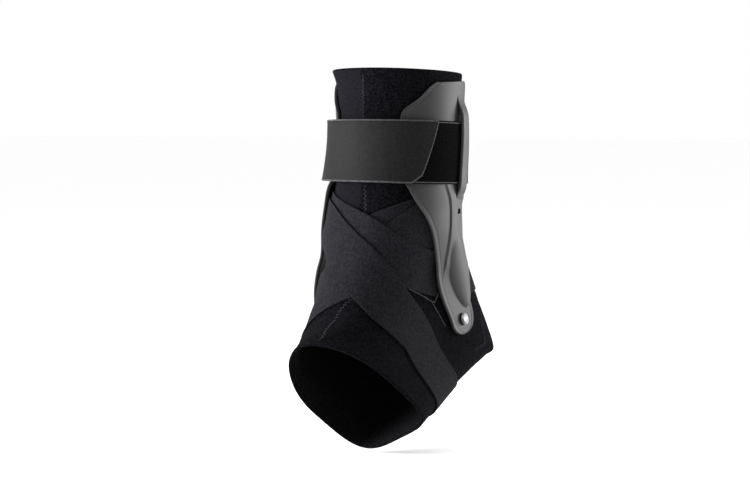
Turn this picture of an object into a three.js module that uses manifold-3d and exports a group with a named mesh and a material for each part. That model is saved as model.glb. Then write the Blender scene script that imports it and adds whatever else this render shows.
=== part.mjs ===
// A left ankle brace as it is worn: an open-toed knitted sleeve, four elastic bands crossed over the
// instep, a moulded guard on each side riveted below the ankle, and a hook-and-loop strap round the leg.
// Millimetres, +Z up the leg, toes towards -Y, +X to the outer (lateral) side, origin at the ankle's centre.
import * as THREE from "three";
import Module from "manifold-3d";
import { mergeVertices } from "three/addons/utils/BufferGeometryUtils.js";

const manifold = await Module();
manifold.setup();

// Sleeve sizes
const RIM_RISE = 147; // ankle centre up to the top rim
const CALF_DEPTH = 101; // front to back at the top rim
const CALF_WIDTH = 97; // side to side at the top rim
const ANKLE_HEIGHT = 87; // ankle centre down to the sole
const HEEL_REACH = 64; // ankle centre back to the heel
const FOOT_REACH = 116; // ankle centre forward to the front rim
const FOOT_WIDTH = 92; // side to side at the front rim
const DROOP = 24; // degrees that the foot points down from square
const INVERSION = 27; // degrees that the sole turns inwards at the front rim
const SLEEVE_WALL = 2.6;
const SLEEVE_RINGS = 24;
const SLEEVE_SEGMENTS = 35;

// Band sizes
const INSTEP_BAND_WIDTH = 39;
const OUTER_INSTEP_BAND_WIDTH = 36;
const HEEL_BAND_WIDTH = 33;
const BAND_WALL = 1.3;
const BAND_GAP = 0.55; // between a band and the sleeve
const LAYER_GAP = 0.7; // between crossed bands
const BAND_CELLS = 6; // facets across a band
const LIFT_MARGIN = 6; // how far beyond a band's edge the next one stays up
const LIFT_RAMP = 18; // how far it then takes to come down
const FACET_ROOM = 0.8; // share of a facet's length and depth that a band leaves room for
const PATH_SAMPLES = 120;
const WALK_STEP = 4;

// Guard sizes
const GUARD_WIDTH = 72; // front to back at the widest
const GUARD_WALL = 2.2;
const KEEPER_WALL = 2.6; // the upright bar that the leg strap passes under
const KEEPER_WIDTH = 14;
const KEEPER_TURN = 0.05; // how far behind the guard's middle the bar stands, as a share of a turn
const MALLEOLUS_BULGE = 4; // how far the guard bulges over the ankle bone
const BULGE_RADIUS = 15;
const SLOT_LENGTH = 5; // the small hole behind the guard's ridge
const SLOT_HEIGHT = 3;

// Leg strap sizes
const STRAP_WALL = 1.5;
const TAB_WALL = 1.8;
const STRAP_GAP = 0.8; // between the strap and what it lies on
const STRAP_SEGMENTS = 40;
const TAB_SEGMENTS = 24;

// Rivet sizes
const RIVET_HEAD = 9.5; // diameter of the domed head
const RIVET_RISE = 2.2;
const RIVET_SHANK = 5;
const RIVET_FLANGE = 11; // diameter of the flat inner end
const FLANGE_WALL = 1;
const RIVET_GAP = 0.35;
const RIVET_SIDES = 16;

const BLACK_KNIT = { color: 0x1a1a1e, roughness: 0.9, metalness: 0 };
const CHARCOAL_ELASTIC = { color: 0x34343a, roughness: 0.85, metalness: 0 };
const GRAPHITE_PLASTIC = { color: 0x6f6f72, roughness: 0.55, metalness: 0 };
const STEEL = { color: 0xb9bcc0, roughness: 0.3, metalness: 1 };
const BLACK_WEBBING = { color: 0x1b1b1e, roughness: 0.95, metalness: 0 };
const CHARCOAL_WEBBING = { color: 0x3a3a3d, roughness: 0.8, metalness: 0 };

// Sections of the leg, from the top rim down. up is the [front, back] height as shares of RIM_RISE, front
// and back are shares of CALF_DEPTH, medial and lateral of CALF_WIDTH, and round is the superellipse
// power of the front and back halves.
const LEG_SECTIONS = [
  { up: [1.01, 0.98], front: 0.5, back: 0.49, medial: 0.49, lateral: 0.475, round: [2.0, 2.1] },
  { up: [0.85, 0.82], front: 0.465, back: 0.47, medial: 0.465, lateral: 0.46, round: [2.0, 2.1] },
  { up: [0.65, 0.64], front: 0.455, back: 0.465, medial: 0.455, lateral: 0.45, round: [2.0, 2.1] },
  { up: [0.47, 0.46], front: 0.47, back: 0.455, medial: 0.475, lateral: 0.43, round: [2.0, 2.1] },
  { up: [0.32, 0.32], front: 0.51, back: 0.455, medial: 0.5, lateral: 0.42, round: [2.0, 2.1] },
  { up: [0.18, 0.19], front: 0.56, back: 0.5, medial: 0.52, lateral: 0.42, round: [2.0, 2.2] },
];

// Sections of the heel and foot, in a foot held square to the leg. front is [forward, up] and back is
// [backward, up]: forward is a share of FOOT_REACH, backward of HEEL_REACH and up of ANKLE_HEIGHT.
// medial and lateral are shares of FOOT_WIDTH, turn is how much of DROOP the front and back points take,
// and roll is how much of INVERSION the section takes.
const FOOT_SECTIONS = [
  { front: [0.5, 0.15], back: [0.94, 0.0], turn: [0.3, 0.35], roll: 0.0, sway: 0.0, medial: 0.54, lateral: 0.42, round: [2, 2.4] },
  { front: [0.565, 0.09], back: [0.955, -0.26], turn: [0.5, 0.65], roll: 0.1, sway: 0.01, medial: 0.535, lateral: 0.42, round: [2, 2.8] },
  { front: [0.636, 0.04], back: [0.88, -0.58], turn: [0.7, 0.9], roll: 0.2, sway: 0.02, medial: 0.545, lateral: 0.42, round: [2.1, 3.3] },
  { front: [0.7, 0.01], back: [0.765, -0.9], turn: [0.85, 1.0], roll: 0.3, sway: 0.03, medial: 0.57, lateral: 0.42, round: [2.35, 4.0] },
  { front: [0.762, 0.0], back: [0.66, -1.13], turn: [1.0, 1.0], roll: 0.4, sway: 0.045, medial: 0.6, lateral: 0.42, round: [2.5, 4.2] },
  { front: [0.82, -0.01], back: [0.43, -1.13], turn: [1.0, 1.0], roll: 0.5, sway: 0.07, medial: 0.6, lateral: 0.42, round: [2.45, 4.2] },
  { front: [0.878, -0.01], back: [0.05, -1.12], turn: [1.0, 1.0], roll: 0.6, sway: 0.095, medial: 0.56, lateral: 0.43, round: [2.3, 4.2] },
  { front: [0.93, 0.0], back: [-0.42, -1.12], turn: [1.0, 1.0], roll: 0.72, sway: 0.12, medial: 0.525, lateral: 0.43, round: [2.05, 4.2] },
  { front: [0.98, 0.01], back: [-0.95, -1.14], turn: [1.0, 1.0], roll: 0.86, sway: 0.143, medial: 0.495, lateral: 0.43, round: [1.8, 4.2] },
  { front: [1.03, 0.02], back: [-1.45, -1.16], turn: [1.0, 1.0], roll: 1.0, sway: 0.163, medial: 0.506, lateral: 0.43, round: [1.8, 4.2] },
];

// A point [y, z] of the square foot, turned down about the ankle centre by a share of DROOP.
function droop(y, z, share) {
  const angle = THREE.MathUtils.degToRad(DROOP * share);
  const [c, s] = [Math.cos(angle), Math.sin(angle)];
  return new THREE.Vector3(0, y * c - z * s, y * s + z * c);
}

const sections = [
  ...LEG_SECTIONS.map((s) => ({
    front: new THREE.Vector3(0, -s.front * CALF_DEPTH, s.up[0] * RIM_RISE),
    back: new THREE.Vector3(0, s.back * CALF_DEPTH, s.up[1] * RIM_RISE),
    size: new THREE.Vector3(s.medial * CALF_WIDTH, s.lateral * CALF_WIDTH, 0),
    round: new THREE.Vector3(...s.round, 0),
  })),
  ...FOOT_SECTIONS.map((s) => ({
    front: droop(-s.front[0] * FOOT_REACH, s.front[1] * ANKLE_HEIGHT, s.turn[0]),
    back: droop(s.back[0] * HEEL_REACH, s.back[1] * ANKLE_HEIGHT, s.turn[1]),
    size: new THREE.Vector3(s.medial * FOOT_WIDTH, s.lateral * FOOT_WIDTH, s.sway * FOOT_WIDTH),
    round: new THREE.Vector3(...s.round, THREE.MathUtils.degToRad(s.roll * INVERSION)),
  })),
];
const FOOT_AXIS = droop(-1, 0, 1); // forward along the foot
const through = (key) => new THREE.CatmullRomCurve3(sections.map((s) => s[key]), false, "catmullrom");
const lines = { front: through("front"), back: through("back"), size: through("size"), round: through("round") };

// The sleeve's outer surface: u runs from the top rim (0) to the front rim (1), and v once round, from
// the shin (0) by the lateral side (0.25), the heel or sole (0.5) and the medial side (0.75).
function skin(u, v) {
  const front = lines.front.getPoint(u);
  const back = lines.back.getPoint(u);
  const size = lines.size.getPoint(u);
  const round = lines.round.getPoint(u);
  const angle = 2 * Math.PI * v;
  const [c, s] = [Math.cos(angle), Math.sin(angle)];
  const power = c >= 0 ? round.x : round.y;
  const radius = (Math.abs(c) ** power + Math.abs(s) ** power) ** (-1 / power);
  const middle = front.clone().add(back).multiplyScalar(0.5);
  const point = middle.clone().lerp(c >= 0 ? front : back, Math.abs(c) * radius);
  point.x = (s >= 0 ? size.y : size.x) * s * radius - size.z;
  return point.applyAxisAngle(FOOT_AXIS, round.z);
}

function skinNormal(u, v) {
  const step = 1e-3;
  const [ua, ub] = [Math.max(0, u - step), Math.min(1, u + step)];
  const along = skin(ub, v).sub(skin(ua, v));
  const round = skin(u, v + step).sub(skin(u, v - step));
  return along.cross(round).normalize();
}

// The point at a height over the sleeve's outer surface.
function over(u, v, height) {
  return skin(u, v).addScaledVector(skinNormal(u, v), height);
}

// Walks over the surface from (u, v) by a vector, in short straight steps, and gives the new (u, v).
function walk(u, v, direction, length) {
  const steps = Math.max(1, Math.ceil(Math.abs(length) / WALK_STEP));
  for (let k = 0; k < steps; k++) {
    const d = 1e-4;
    const here = skin(u, v);
    const su = skin(u + d, v).sub(here).divideScalar(d);
    const sv = skin(u, v + d).sub(here).divideScalar(d);
    const normal = su.clone().cross(sv).normalize();
    const stride = direction.clone().projectOnPlane(normal).setLength(length / steps);
    const [a, b, c] = [su.dot(su), su.dot(sv), sv.dot(sv)];
    const [e, f] = [stride.dot(su), stride.dot(sv)];
    const det = a * c - b * b;
    u = Math.min(1 - 2 * d, Math.max(0, u + (c * e - b * f) / det));
    v += (a * f - b * e) / det;
  }
  return [u, v];
}

// One closed body between two grids of points, outer[i][j] and inner[i][j]. With ring, j runs all round.
function shell(outer, inner, ring) {
  const rows = outer.length;
  const columns = outer[0].length;
  const corners = [...outer.flat(), ...inner.flat()];
  const at = (side, i, j) => side * rows * columns + i * columns + (j % columns);
  const faces = [];
  const quad = (a, b, c, d) => faces.push(a, b, c, a, c, d);
  const last = ring ? columns : columns - 1;
  for (let i = 0; i < rows - 1; i++)
    for (let j = 0; j < last; j++) {
      quad(at(0, i, j), at(0, i + 1, j), at(0, i + 1, j + 1), at(0, i, j + 1));
      quad(at(1, i, j), at(1, i, j + 1), at(1, i + 1, j + 1), at(1, i + 1, j));
    }
  for (let j = 0; j < last; j++) {
    quad(at(0, 0, j), at(0, 0, j + 1), at(1, 0, j + 1), at(1, 0, j));
    quad(at(0, rows - 1, j), at(1, rows - 1, j), at(1, rows - 1, j + 1), at(0, rows - 1, j + 1));
  }
  if (!ring)
    for (let i = 0; i < rows - 1; i++) {
      quad(at(0, i, 0), at(1, i, 0), at(1, i + 1, 0), at(0, i + 1, 0));
      quad(at(0, i, last), at(0, i + 1, last), at(1, i + 1, last), at(1, i, last));
    }
  const geometry = new THREE.BufferGeometry();
  const places = corners.flatMap((p) => p.toArray());
  geometry.setAttribute("position", new THREE.Float32BufferAttribute(places, 3));
  geometry.setIndex(faces);
  return geometry;
}

// A strip along a path over the sleeve. path gives [u, v] for t from 0 to 1, edges(t) the widths in mm to
// the strip's left and right, height(u, v, t, c) how far its inner face stands off the sleeve, where c
// runs from -1 to 1 across it, and wall its thickness.
function strip({ path, edges, height, wall, steps, across }) {
  const outer = [];
  const inner = [];
  for (let i = 0; i <= steps; i++) {
    const t = i / steps;
    const middle = path.getPoint(t);
    const d = 1e-3;
    const before = path.getPoint(Math.max(0, t - d));
    const after = path.getPoint(Math.min(1, t + d));
    const along = skin(after.x, after.y).sub(skin(before.x, before.y)).normalize();
    const side = along.clone().cross(skinNormal(middle.x, middle.y));
    const [left, right] = edges(t);
    const rowOuter = [];
    const rowInner = [];
    for (let j = 0; j <= across; j++) {
      const c = (2 * j) / across - 1;
      const reach = c < 0 ? left * c : right * c;
      const [u, v] = walk(middle.x, middle.y, side, reach);
      const lift = height(u, v, t, c);
      rowInner.push(over(u, v, lift));
      rowOuter.push(over(u, v, lift + wall));
    }
    outer.push(rowOuter);
    inner.push(rowInner);
  }
  return shell(outer.reverse(), inner.reverse(), false);
}

// A smooth curve through the [u, v] columns of a table's rows.
function route(rows) {
  return new THREE.CatmullRomCurve3(rows.map((r) => new THREE.Vector3(r.u, r.v, 0)), false, "catmullrom");
}

// A value that a table gives by rows, read smoothly at t from 0 (first row) to 1 (last row).
function column(rows, key) {
  const curve = new THREE.CatmullRomCurve3(rows.map((r) => new THREE.Vector3(r[key], 0, 0)), false, "catmullrom");
  return (t) => curve.getPoint(t).x;
}

function sleeve() {
  const grid = (lift) =>
    Array.from({ length: SLEEVE_RINGS + 1 }, (_, i) =>
      Array.from({ length: SLEEVE_SEGMENTS }, (_, j) => over(i / SLEEVE_RINGS, j / SLEEVE_SEGMENTS, lift)),
    );
  return shell(grid(0), grid(-SLEEVE_WALL), true);
}

// The crossed bands, from the innermost to the outermost. Each runs from under a guard above the ankle
// over the instep: the heel bands go on round the heel, and the instep bands down under the sole.
const BANDS = [
  {
    name: "medial_heel_band",
    width: HEEL_BAND_WIDTH,
    steps: 22,
    rows: [
      { u: 0.285, v: 1.235 },
      { u: 0.31, v: 1.15 },
      { u: 0.345, v: 1.05 },
      { u: 0.38, v: 0.96 },
      { u: 0.42, v: 0.88 },
      { u: 0.46, v: 0.81 },
      { u: 0.49, v: 0.74 },
    ],
  },
  {
    name: "medial_instep_band",
    width: INSTEP_BAND_WIDTH,
    steps: 32,
    rows: [
      { u: 0.295, v: 1.24 },
      { u: 0.33, v: 1.18 },
      { u: 0.38, v: 1.11 },
      { u: 0.435, v: 1.035 },
      { u: 0.49, v: 0.965 },
      { u: 0.55, v: 0.905 },
      { u: 0.615, v: 0.862 },
      { u: 0.7, v: 0.82 },
      { u: 0.79, v: 0.768 },
      { u: 0.85, v: 0.715 },
      { u: 0.878, v: 0.66 },
      { u: 0.888, v: 0.6 },
      { u: 0.89, v: 0.545 },
    ],
  },
  {
    name: "lateral_heel_band",
    width: HEEL_BAND_WIDTH,
    steps: 36,
    rows: [
      { u: 0.285, v: 0.785 },
      { u: 0.292, v: 0.86 },
      { u: 0.315, v: 0.95 },
      { u: 0.345, v: 1.03 },
      { u: 0.39, v: 1.11 },
      { u: 0.44, v: 1.18 },
      { u: 0.475, v: 1.25 },
      { u: 0.475, v: 1.35 },
      { u: 0.44, v: 1.45 },
      { u: 0.43, v: 1.55 },
      { u: 0.44, v: 1.65 },
      { u: 0.46, v: 1.71 },
    ],
  },
  {
    name: "lateral_instep_band",
    width: OUTER_INSTEP_BAND_WIDTH,
    steps: 34,
    rows: [
      { u: 0.31, v: 0.785 },
      { u: 0.312, v: 0.825 },
      { u: 0.32, v: 0.88 },
      { u: 0.35, v: 0.94 },
      { u: 0.392, v: 0.998 },
      { u: 0.455, v: 1.056 },
      { u: 0.54, v: 1.112 },
      { u: 0.63, v: 1.158 },
      { u: 0.735, v: 1.203 },
      { u: 0.83, v: 1.26 },
      { u: 0.885, v: 1.32 },
      { u: 0.91, v: 1.385 },
      { u: 0.912, v: 1.45 },
      { u: 0.905, v: 1.5 },
    ],
  },
];

for (const band of BANDS) {
  band.path = route(band.rows);
  band.centre = band.path.getSpacedPoints(PATH_SAMPLES).map((p) => skin(p.x, p.y));
}

// How deep the flat facets of a band cut into the sleeve's curve round (u, v).
function sag(u, v) {
  const point = skin(u, v);
  const normal = skinNormal(u, v);
  const reach = (FACET_ROOM * INSTEP_BAND_WIDTH) / BAND_CELLS;
  const round = skin(u, v + 1e-3).sub(point).normalize();
  const cut = [round, round.clone().cross(normal)].map((direction) => {
    const ends = [1, -1].map((way) => skin(...walk(u, v, direction, way * reach)));
    return point.clone().sub(ends[0].add(ends[1]).multiplyScalar(0.5)).dot(normal);
  });
  return FACET_ROOM * Math.max(0, ...cut);
}

// How far a piece lies off the sleeve at (u, v): one wall and one gap for each band that passes below it
// there, falling off smoothly beyond the band's edge, and room for the facets of every layer.
function lifted(u, v, below) {
  const point = skin(u, v);
  let lift = BAND_GAP + sag(u, v) * (1 + below.length / 2);
  for (const band of below) {
    const distance = Math.min(...band.centre.map((p) => p.distanceTo(point)));
    const beyond = distance - band.width / 2 - LIFT_MARGIN;
    lift += (BAND_WALL + LAYER_GAP) * (1 - THREE.MathUtils.smoothstep(beyond, 0, LIFT_RAMP));
  }
  return lift;
}

function bandGeometry(band, below) {
  return strip({
    path: band.path,
    edges: () => [band.width / 2, band.width / 2],
    height: (u, v) => lifted(u, v, below),
    wall: BAND_WALL,
    steps: band.steps,
    across: BAND_CELLS,
  });
}

// The guards' rows run from the top edge to the rounded lower end: u is the place along the sleeve, turn the
// share of a turn from the shin, front and back the widths to each side of the middle as shares of
// GUARD_WIDTH, and lift how far in mm the plate stands off the sleeve.
const GUARD_ROWS = {
  lateral: [
    { u: 0.022, turn: 0.25, front: 0.2639, back: 0.3611, lift: 0.7 },
    { u: 0.04, turn: 0.25, front: 0.3333, back: 0.3889, lift: 0.7 },
    { u: 0.06, turn: 0.25, front: 0.4306, back: 0.4028, lift: 0.7 },
    { u: 0.08, turn: 0.25, front: 0.5694, back: 0.4028, lift: 0.7 },
    { u: 0.1, turn: 0.25, front: 0.5972, back: 0.4028, lift: 0.7 },
    { u: 0.13, turn: 0.25, front: 0.5972, back: 0.4028, lift: 1.1 },
    { u: 0.165, turn: 0.25, front: 0.5833, back: 0.4028, lift: 1.6 },
    { u: 0.195, turn: 0.25, front: 0.5694, back: 0.4028, lift: 2.05 },
    { u: 0.22, turn: 0.25, front: 0.5417, back: 0.3889, lift: 2.5 },
    { u: 0.25, turn: 0.25, front: 0.4306, back: 0.375, lift: 5.2 },
    { u: 0.29, turn: 0.252, front: 0.3056, back: 0.3333, lift: 6 },
    { u: 0.34, turn: 0.256, front: 0.2361, back: 0.3056, lift: 6.1 },
    { u: 0.4, turn: 0.263, front: 0.2361, back: 0.2778, lift: 6.1 },
    { u: 0.45, turn: 0.269, front: 0.25, back: 0.2708, lift: 5.8 },
    { u: 0.5, turn: 0.274, front: 0.2569, back: 0.2708, lift: 5 },
    { u: 0.54, turn: 0.279, front: 0.2639, back: 0.2639, lift: 3.9 },
    { u: 0.575, turn: 0.282, front: 0.2569, back: 0.2569, lift: 2.6 },
    { u: 0.605, turn: 0.285, front: 0.2431, back: 0.2431, lift: 1.9 },
    { u: 0.63, turn: 0.287, front: 0.2083, back: 0.2083, lift: 1.7 },
    { u: 0.652, turn: 0.288, front: 0.1528, back: 0.1528, lift: 1.5 },
    { u: 0.668, turn: 0.289, front: 0.0694, back: 0.0694, lift: 1.4 },
  ],
  medial: [
    { u: 0.022, turn: 0.25, front: 0.2639, back: 0.3611, lift: 0.7 },
    { u: 0.04, turn: 0.25, front: 0.3333, back: 0.3889, lift: 0.7 },
    { u: 0.06, turn: 0.25, front: 0.4306, back: 0.4028, lift: 0.7 },
    { u: 0.08, turn: 0.25, front: 0.5694, back: 0.4028, lift: 0.7 },
    { u: 0.1, turn: 0.25, front: 0.5972, back: 0.4028, lift: 0.7 },
    { u: 0.13, turn: 0.25, front: 0.5972, back: 0.4028, lift: 1.1 },
    { u: 0.165, turn: 0.25, front: 0.5833, back: 0.4028, lift: 1.6 },
    { u: 0.195, turn: 0.25, front: 0.5694, back: 0.4028, lift: 2.05 },
    { u: 0.22, turn: 0.25, front: 0.5417, back: 0.3889, lift: 2.5 },
    { u: 0.25, turn: 0.248, front: 0.4444, back: 0.375, lift: 5.2 },
    { u: 0.29, turn: 0.244, front: 0.3611, back: 0.3472, lift: 6.2 },
    { u: 0.34, turn: 0.24, front: 0.3194, back: 0.3194, lift: 6.6 },
    { u: 0.4, turn: 0.236, front: 0.3264, back: 0.3056, lift: 7.6 },
    { u: 0.45, turn: 0.236, front: 0.3403, back: 0.3056, lift: 8.6 },
    { u: 0.5, turn: 0.238, front: 0.3611, back: 0.3056, lift: 9 },
    { u: 0.54, turn: 0.243, front: 0.3611, back: 0.2986, lift: 8.6 },
    { u: 0.575, turn: 0.252, front: 0.3333, back: 0.2847, lift: 7 },
    { u: 0.605, turn: 0.265, front: 0.2917, back: 0.2639, lift: 4.8 },
    { u: 0.63, turn: 0.276, front: 0.2292, back: 0.2292, lift: 3 },
    { u: 0.652, turn: 0.283, front: 0.1667, back: 0.1667, lift: 1.9 },
    { u: 0.668, turn: 0.286, front: 0.0694, back: 0.0694, lift: 1.6 },
  ],
};
const RIVET_PLACE = { u: 0.615, turn: 0.287 };
const BULGE_PLACE = { u: 0.48, turn: 0.285 };
const SLOT_PLACE = { u: 0.29, turn: 0.297 };

// The keeper's rows: where its bar leaves the plate, runs clear of it and comes back.
const KEEPER_ROWS = [
  { u: 0.055, rise: -1.2 },
  { u: 0.068, rise: 0.4 },
  { u: 0.082, rise: 2.2 },
  { u: 0.096, rise: 2.7 },
  { u: 0.15, rise: 2.7 },
  { u: 0.218, rise: 2.7 },
  { u: 0.232, rise: 1.8 },
  { u: 0.246, rise: 0.2 },
  { u: 0.26, rise: -1.4 },
];

// The leg strap's upper and lower edges along the sleeve, and the tab's ends round it. The tab's free end
// lies on the outer side and slants back from top to bottom.
const STRAP_EDGES = { top: 0.1, bottom: 0.215 };
const TAB_ENDS = { medial: 0.64, top: 1.193, bottom: 1.15 };
const TAB_RAMP = { start: 0.76, end: 0.98 }; // where the tab comes down from the medial keeper

const SIDES = [
  { name: "lateral", sign: 1 },
  { name: "medial", sign: -1 },
];
const place = (side, { u, turn }) => [u, side.sign > 0 ? turn : 1 - turn];

// How far a side's plate stands off the sleeve at a height u along it.
function plateLift(side, u) {
  const rows = GUARD_ROWS[side.name];
  const next = Math.max(1, rows.findIndex((r) => r.u >= u));
  const share = (u - rows[next - 1].u) / (rows[next].u - rows[next - 1].u);
  return THREE.MathUtils.lerp(rows[next - 1].lift, rows[next].lift, share);
}

// The plate's extra stand-off over the ankle bone.
function bulge(side, u, v) {
  const far = skin(u, v).distanceTo(skin(...place(side, BULGE_PLACE)));
  return MALLEOLUS_BULGE * Math.exp(-((far / BULGE_RADIUS) ** 2));
}

function solid(geometry) {
  const bare = geometry.clone();
  bare.deleteAttribute("normal");
  bare.deleteAttribute("uv");
  const merged = mergeVertices(bare, 1e-4);
  const vertProperties = new Float32Array(merged.attributes.position.array);
  const triVerts = new Uint32Array(merged.index.array);
  return new manifold.Manifold(new manifold.Mesh({ numProp: 3, vertProperties, triVerts }));
}

function geometryOf(body) {
  const mesh = body.getMesh();
  const geometry = new THREE.BufferGeometry();
  geometry.setAttribute("position", new THREE.Float32BufferAttribute(mesh.vertProperties, 3));
  geometry.setIndex([...mesh.triVerts]);
  return geometry;
}

// A geometry with its +Y axis turned to the sleeve's outward direction at (u, v), its origin at a height.
function planted(geometry, u, v, height) {
  const turn = new THREE.Quaternion().setFromUnitVectors(new THREE.Vector3(0, 1, 0), skinNormal(u, v));
  return geometry.applyQuaternion(turn).translate(...over(u, v, height).toArray());
}

function rivetHole(side, diameter) {
  const depth = 30;
  const cutter = new THREE.CylinderGeometry(diameter / 2, diameter / 2, depth, RIVET_SIDES);
  return solid(planted(cutter, ...place(side, RIVET_PLACE), 0));
}

function guardGeometry(side) {
  const rows = GUARD_ROWS[side.name];
  const ends = rows.map((r) => ({ u: r.u, v: place(side, r)[1] }));
  const [front, back, lift] = ["front", "back", "lift"].map((key) => column(rows, key));
  const widths = (t) => [front(t) * GUARD_WIDTH, back(t) * GUARD_WIDTH];
  const plate = strip({
    path: route(ends),
    edges: (t) => (side.sign > 0 ? widths(t).reverse() : widths(t)),
    height: (u, v, t) => lift(t) + bulge(side, u, v),
    wall: GUARD_WALL,
    steps: 26,
    across: 8,
  });
  const keeperTurn = rows[0].turn + KEEPER_TURN;
  const rise = column(KEEPER_ROWS, "rise");
  const keeper = strip({
    path: route(KEEPER_ROWS.map((r) => ({ u: r.u, v: place(side, { u: r.u, turn: keeperTurn })[1] }))),
    edges: () => [KEEPER_WIDTH / 2, KEEPER_WIDTH / 2],
    height: (u, v, t) => plateLift(side, u) + GUARD_WALL + rise(t),
    wall: KEEPER_WALL,
    steps: 14,
    across: 3,
  });
  let body = solid(plate).add(solid(keeper)).subtract(rivetHole(side, RIVET_SHANK + 2 * RIVET_GAP));
  if (side.name === "lateral") {
    const slot = new THREE.BoxGeometry(SLOT_LENGTH, 30, SLOT_HEIGHT);
    body = body.subtract(solid(planted(slot, ...place(side, SLOT_PLACE), 0)));
  }
  return geometryOf(body);
}

// A band of the leg between two heights along the sleeve, closed round it or between two turns.
function cuff({ top, bottom, from, to, height, wall, rows, columns, ring }) {
  const grid = (extra) =>
    Array.from({ length: rows + 1 }, (_, i) => {
      const share = i / rows;
      const u = THREE.MathUtils.lerp(top, bottom, share);
      const end = to(share);
      const count = ring ? columns : columns + 1;
      return Array.from({ length: count }, (__, j) => {
        const v = THREE.MathUtils.lerp(from, end, j / columns);
        return over(u, v, height(u, v) + extra);
      });
    });
  return shell(grid(wall), grid(0), ring);
}

const strapLift = (u) => plateLift(SIDES[0], u) + GUARD_WALL + STRAP_GAP;

function legStrap() {
  return cuff({
    ...STRAP_EDGES,
    from: 0,
    to: () => 1,
    height: strapLift,
    wall: STRAP_WALL,
    rows: 3,
    columns: STRAP_SEGMENTS,
    ring: true,
  });
}

function strapTab() {
  const resting = STRAP_WALL + STRAP_GAP;
  const overKeeper = KEEPER_ROWS[4].rise + KEEPER_WALL;
  const { smoothstep, lerp } = THREE.MathUtils;
  return cuff({
    ...STRAP_EDGES,
    from: TAB_ENDS.medial,
    to: (share) => lerp(TAB_ENDS.top, TAB_ENDS.bottom, share),
    height: (u, v) => strapLift(u) + lerp(overKeeper, resting, smoothstep(v, TAB_RAMP.start, TAB_RAMP.end)),
    wall: TAB_WALL,
    rows: 3,
    columns: TAB_SEGMENTS,
    ring: false,
  });
}

// A domed head outside the guard, a shank through guard and sleeve, and a flat flange inside.
function rivetGeometry(side) {
  const [u, v] = place(side, RIVET_PLACE);
  const seat = plateLift(side, u) + bulge(side, u, v) + GUARD_WALL + RIVET_GAP;
  const inside = -SLEEVE_WALL - RIVET_GAP;
  const dome = [0.95, 0.8, 0.5].map((s) => new THREE.Vector2((s * RIVET_HEAD) / 2, seat + RIVET_RISE * (1 - s * s)));
  const profile = [
    new THREE.Vector2(0, inside - FLANGE_WALL),
    new THREE.Vector2(RIVET_FLANGE / 2, inside - FLANGE_WALL),
    new THREE.Vector2(RIVET_FLANGE / 2, inside),
    new THREE.Vector2(RIVET_SHANK / 2, inside),
    new THREE.Vector2(RIVET_SHANK / 2, seat),
    new THREE.Vector2(RIVET_HEAD / 2, seat),
    ...dome,
    new THREE.Vector2(0, seat + RIVET_RISE),
  ];
  return planted(new THREE.LatheGeometry(profile, RIVET_SIDES), u, v, 0);
}

const brace = new THREE.Group();
function add(name, geometry, look) {
  const mesh = new THREE.Mesh(geometry, new THREE.MeshStandardMaterial(look));
  mesh.name = name;
  brace.add(mesh);
}
let cloth = solid(sleeve());
for (const side of SIDES) cloth = cloth.subtract(rivetHole(side, RIVET_SHANK + 2 * RIVET_GAP));
add("sleeve", geometryOf(cloth), BLACK_KNIT);
BANDS.forEach((band, k) => add(band.name, bandGeometry(band, BANDS.slice(0, k)), CHARCOAL_ELASTIC));
for (const side of SIDES) {
  add(`${side.name}_guard`, guardGeometry(side), GRAPHITE_PLASTIC);
  add(`${side.name}_rivet`, rivetGeometry(side), STEEL);
}
add("leg_strap", legStrap(), BLACK_WEBBING);
add("strap_tab", strapTab(), CHARCOAL_WEBBING);
export default brace;
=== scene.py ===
# The looks of an ankle brace as it is worn: a black knitted sleeve, four charcoal elastic bands crossed over
# the instep, a grey moulded guard on each side, and a leg strap fastened across the front.
# Lengths are in millimetres until a piece's mesh is laid out, and in metres after that.
import math

import bmesh
import bpy
import numpy as np
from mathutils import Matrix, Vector


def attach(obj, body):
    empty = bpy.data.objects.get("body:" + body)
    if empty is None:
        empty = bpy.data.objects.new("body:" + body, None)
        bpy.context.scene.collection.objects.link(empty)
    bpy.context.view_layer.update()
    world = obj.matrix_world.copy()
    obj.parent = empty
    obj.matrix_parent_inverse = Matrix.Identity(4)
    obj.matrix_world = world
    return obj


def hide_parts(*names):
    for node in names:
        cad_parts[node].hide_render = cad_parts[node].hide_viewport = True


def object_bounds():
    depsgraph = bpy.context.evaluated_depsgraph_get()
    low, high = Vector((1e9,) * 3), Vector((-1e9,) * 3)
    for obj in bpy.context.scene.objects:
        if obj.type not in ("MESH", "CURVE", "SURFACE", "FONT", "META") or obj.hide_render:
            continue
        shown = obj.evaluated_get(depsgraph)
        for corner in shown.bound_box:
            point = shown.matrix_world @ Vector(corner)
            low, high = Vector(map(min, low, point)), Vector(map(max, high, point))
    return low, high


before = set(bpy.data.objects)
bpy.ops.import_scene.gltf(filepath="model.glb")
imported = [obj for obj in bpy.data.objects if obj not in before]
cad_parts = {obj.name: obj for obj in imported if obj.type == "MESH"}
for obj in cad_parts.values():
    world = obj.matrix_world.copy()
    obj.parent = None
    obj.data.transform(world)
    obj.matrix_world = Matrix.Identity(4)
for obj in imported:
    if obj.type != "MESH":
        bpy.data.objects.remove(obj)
CAD_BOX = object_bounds()

MM = 0.001
# In metres: corners closer than this are one
SAME_POINT = 2e-6

# Sleeve sizes
RIM_RISE = 147
CALF_DEPTH = 101
CALF_WIDTH = 97
ANKLE_HEIGHT = 87
HEEL_REACH = 62
FOOT_REACH = 116
FOOT_WIDTH = 92
DROOP = math.radians(24)
INVERSION = math.radians(27)
SLEEVE_WALL = 2.6
SLEEVE_LENGTH = 430

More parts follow.
